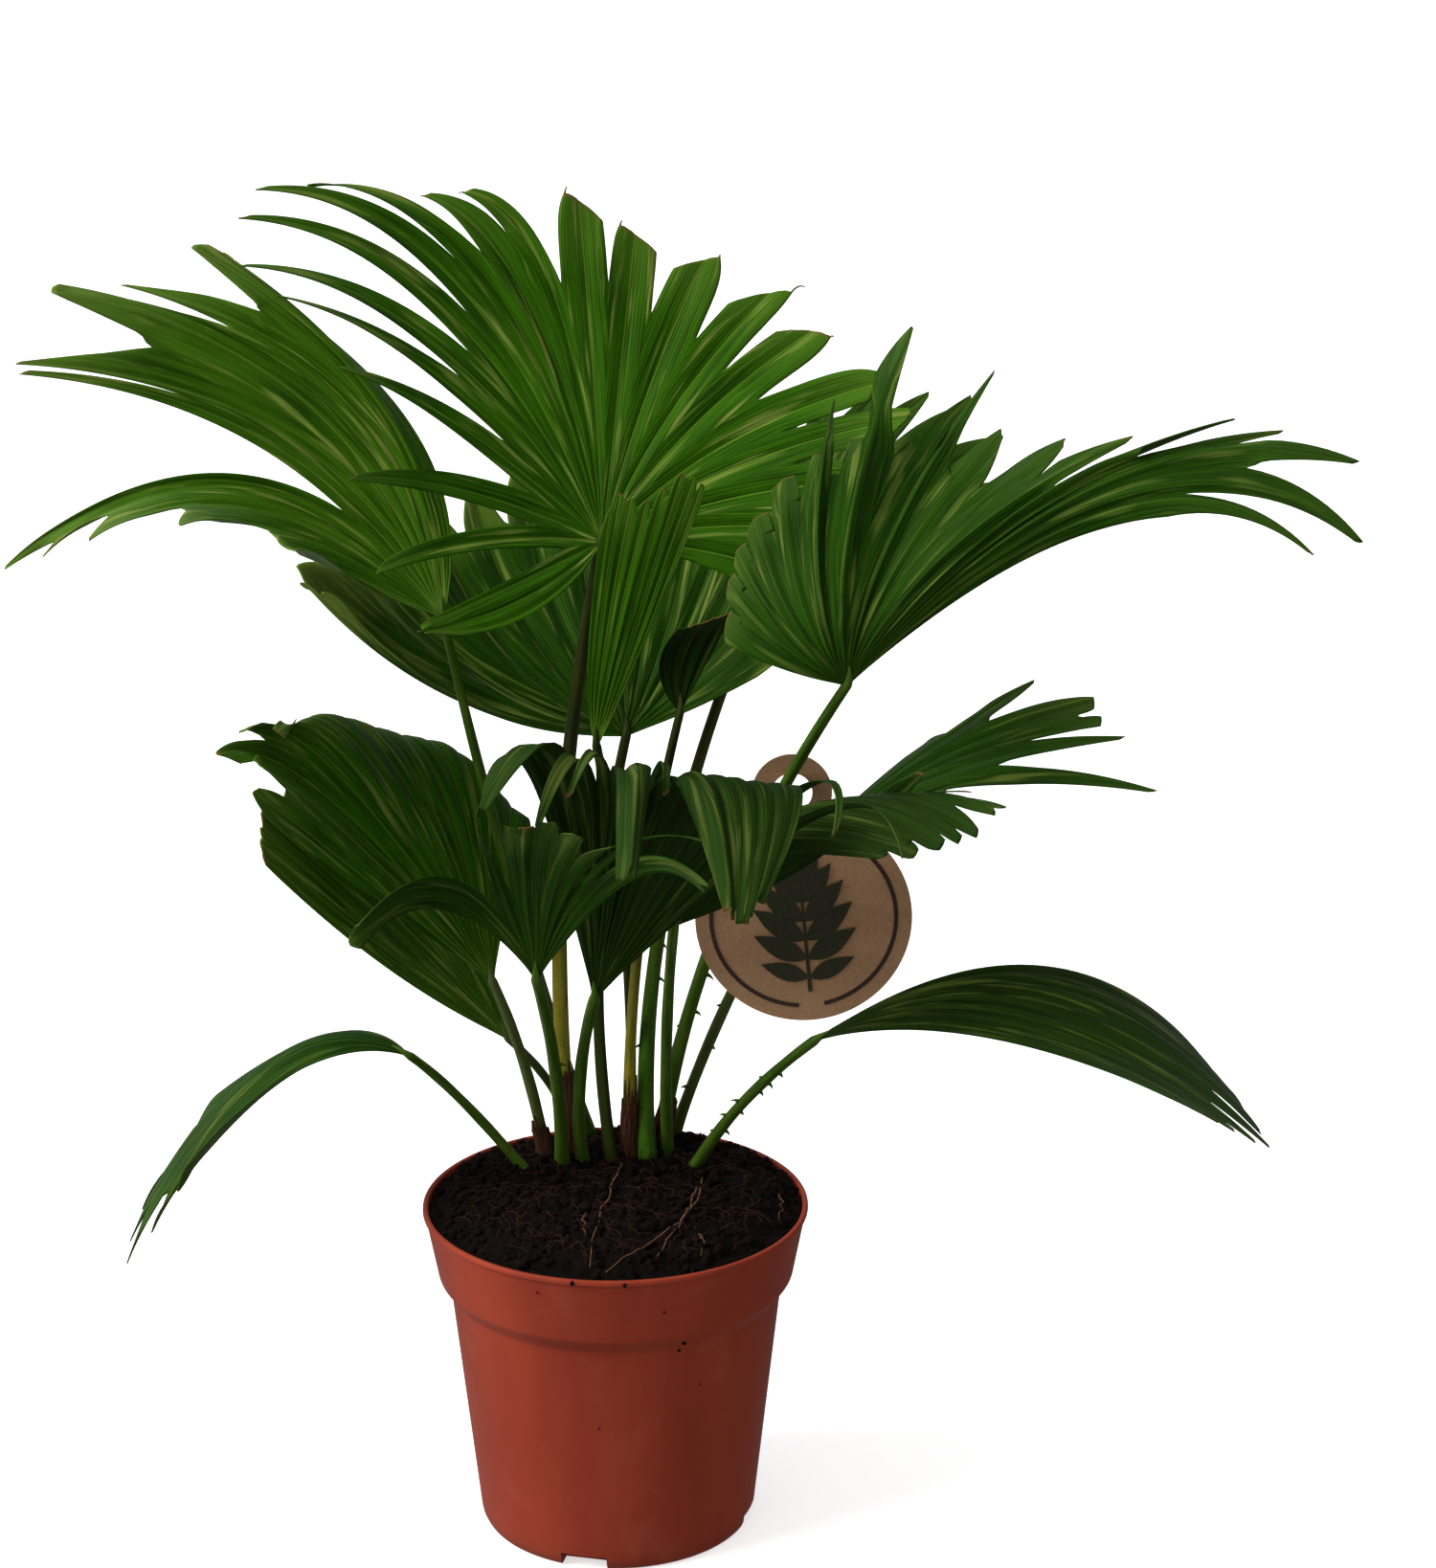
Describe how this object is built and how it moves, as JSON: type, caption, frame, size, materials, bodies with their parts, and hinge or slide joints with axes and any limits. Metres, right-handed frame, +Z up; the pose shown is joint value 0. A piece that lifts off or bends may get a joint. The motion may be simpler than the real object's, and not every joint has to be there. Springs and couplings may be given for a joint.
{
  "type": "potted footstool palm",
  "caption": "Young fan palm with round pleated fronds on slender stems, rooted in soil in a round tapered nursery pot, with a round card tag hung on one stem.",
  "frame": {"origin": "centre of the pot's flat underside", "axes": "+Z up from the underside through the soil to the fronds; +X to the viewer's right and -Y towards the viewer, when the tagged stem is at the right"},
  "size_m": [0.4441, 0.267, 0.4898],
  "materials": {
    "pot": "satin",
    "soil": "matte",
    "stem": "satin",
    "leaf": "satin",
    "sheath": "matte",
    "card": "matte"
  },
  "bodies": {
    "root": {"pot": "pot", "soil": "soil", "petiole_top": "stem", "frond_top": "leaf", "petiole_left": "stem", "frond_left": "leaf", "petiole_right": "stem", "frond_right": "leaf", "petiole_back_middle": "stem", "frond_back_middle": "leaf", "petiole_back_right": "stem", "frond_back_right": "leaf", "petiole_lower_left": "stem", "frond_lower_left": "leaf", "petiole_under_left": "stem", "frond_under_left": "leaf", "petiole_small_front": "stem", "frond_small_front": "leaf", "petiole_centre_front": "stem", "frond_centre_front": "leaf", "petiole_mid_right": "stem", "frond_mid_right": "leaf", "petiole_front_right": "stem", "frond_front_right": "leaf", "petiole_left_strap": "stem", "frond_left_strap": "leaf", "petiole_right_strap": "stem", "frond_right_strap": "leaf", "petiole_spatula": "stem", "frond_spatula": "leaf", "petiole_spear": "stem", "frond_spear": "leaf", "sheath_top": "sheath", "sheath_lower_left": "sheath", "sheath_spatula": "sheath", "sheath_right": "sheath", "tag": "card"}
  },
  "joints": []
}
